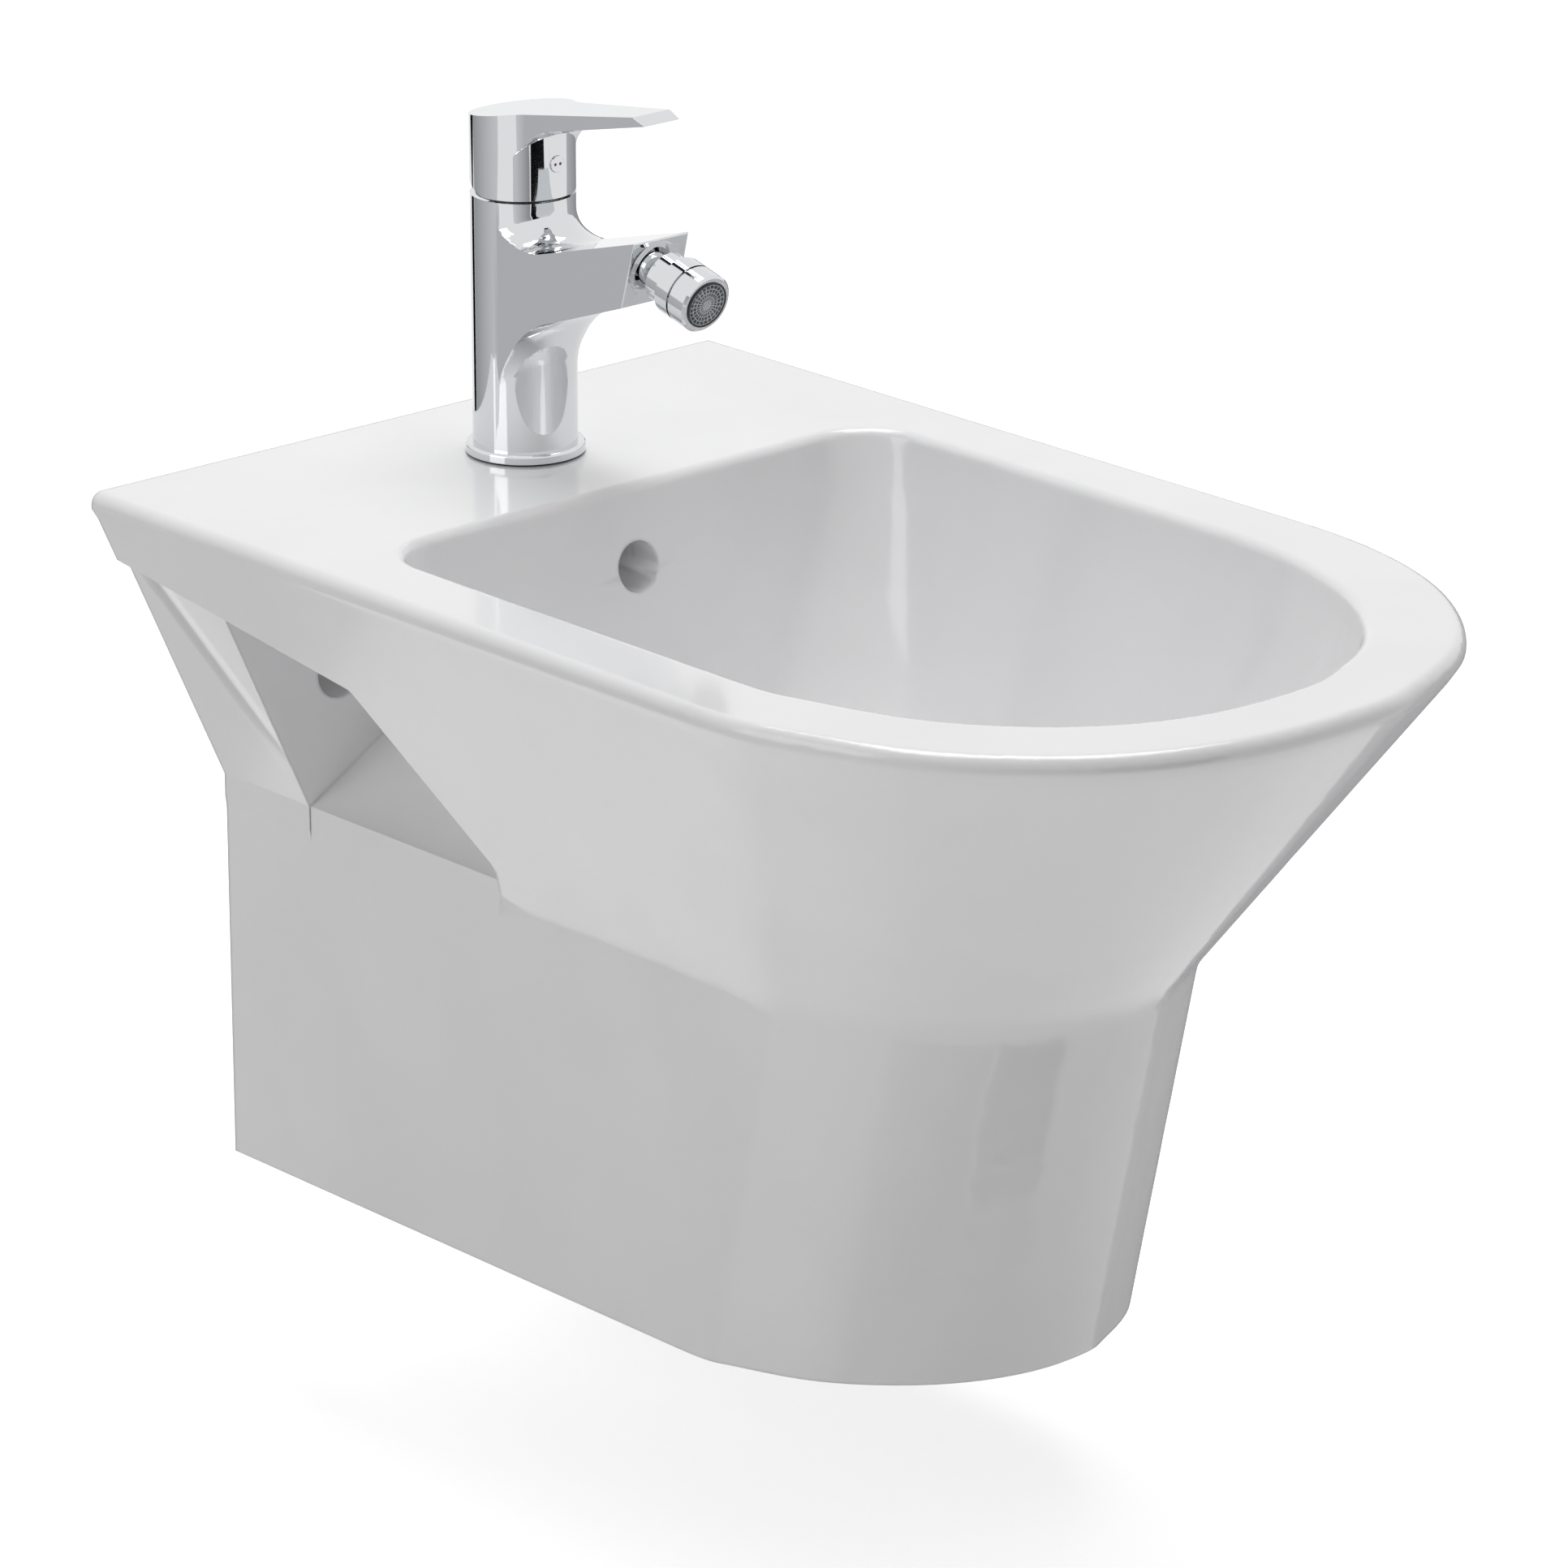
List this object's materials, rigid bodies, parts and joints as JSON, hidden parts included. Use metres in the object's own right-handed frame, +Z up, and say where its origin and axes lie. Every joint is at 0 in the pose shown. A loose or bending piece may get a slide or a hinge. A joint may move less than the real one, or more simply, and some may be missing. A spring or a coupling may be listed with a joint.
{
  "type": "wall hung bidet",
  "caption": "Wall hung ceramic bidet with a wide rim and deep bowl, side access pockets, an overflow, a single lever deck tap with a swivel aerator, and a push plug waste.",
  "frame": {"origin": "On the wall plane, midway between the centres of the two wall stud holes", "axes": "+X to the right facing the wall, +Y into the wall, +Z up, the front of the bowl towards -Y"},
  "size_m": [0.35, 0.555, 0.4781],
  "materials": {
    "vitreous_china": "smooth glossy white glaze",
    "chrome": "polished chrome plate",
    "brass": "turned raw brass",
    "steel": "zinc plated steel",
    "black_rubber": "matt moulded rubber",
    "white_plastic": "moulded acetal",
    "grey_plastic": "fine moulded plastic",
    "black_plastic": "moulded plastic",
    "alumina": "lapped ceramic",
    "red_mark": "gloss",
    "blue_mark": "gloss"
  },
  "bodies": {
    "base": {"ceramic_body": "vitreous_china", "base_seal": "black_rubber", "base_ring": "chrome", "tap_body": "chrome", "collar_ring": "black_plastic", "port_seal_hot": "black_rubber", "port_seal_cold": "black_rubber", "port_seal_outlet": "black_rubber", "cartridge_housing": "white_plastic", "fixed_disc": "alumina", "cartridge_nut": "brass", "ball_nipple": "chrome", "fixing_stud": "steel", "horseshoe_gasket": "black_rubber", "horseshoe_clamp": "steel", "stud_nut": "brass", "waste_tail": "chrome", "flange_seal": "black_rubber", "tail_seal": "black_rubber", "lock_nut": "brass", "plug_spring": "steel"},
    "rotor": {"rotor": "grey_plastic", "pivot_pin": "steel"},
    "lever": {"spindle": "steel", "lever_handle": "chrome", "grub_screw": "steel", "indicator_cap": "chrome", "hot_mark": "red_mark", "cold_mark": "blue_mark"},
    "mixer": {"moving_disc": "alumina", "disc_carrier": "white_plastic"},
    "swivel": {"swivel_seat": "white_plastic"},
    "nozzle": {"swivel_socket": "chrome", "aerator_washer": "black_rubber", "aerator_shell": "chrome", "aerator_insert": "black_plastic", "aerator_grid": "grey_plastic"},
    "plug": {"waste_plug": "chrome", "plug_seal": "black_rubber", "stem_nut": "brass"}
  },
  "joints": [
    {"name": "lever_turn", "type": "hinge", "parent": "base", "child": "rotor", "pos_m": [0, -0.075, 0.187], "axis": [0, 0, 1], "range_deg": [-50, 50]},
    {"name": "lever_lift", "type": "hinge", "parent": "rotor", "child": "lever", "pos_m": [0, -0.075, 0.187], "axis": [-1, 0, 0], "range_deg": [0, 18]},
    {"name": "disc_slide", "type": "slide", "parent": "rotor", "child": "mixer", "axis": [0, -1, 0], "range_m": [0, 0.00302]},
    {"name": "swivel_pan", "type": "hinge", "parent": "base", "child": "swivel", "pos_m": [0, -0.16618, 0.17822], "axis": [0, 0, 1], "range_deg": [-13, 13]},
    {"name": "swivel_tilt", "type": "hinge", "parent": "swivel", "child": "nozzle", "pos_m": [0, -0.16618, 0.17822], "axis": [1, 0, 0], "range_deg": [-13, 13]},
    {"name": "plug_push", "type": "slide", "parent": "base", "child": "plug", "axis": [0, 0, 1], "range_m": [-0.009, 0], "stiffness_N_per_m": 300, "springref_m": 0.01, "deforming": ["plug_spring"]}
  ],
  "couplings": [
    {"joint": "disc_slide", "follows": "lever_lift", "m_per_rad": 0.0096}
  ]
}
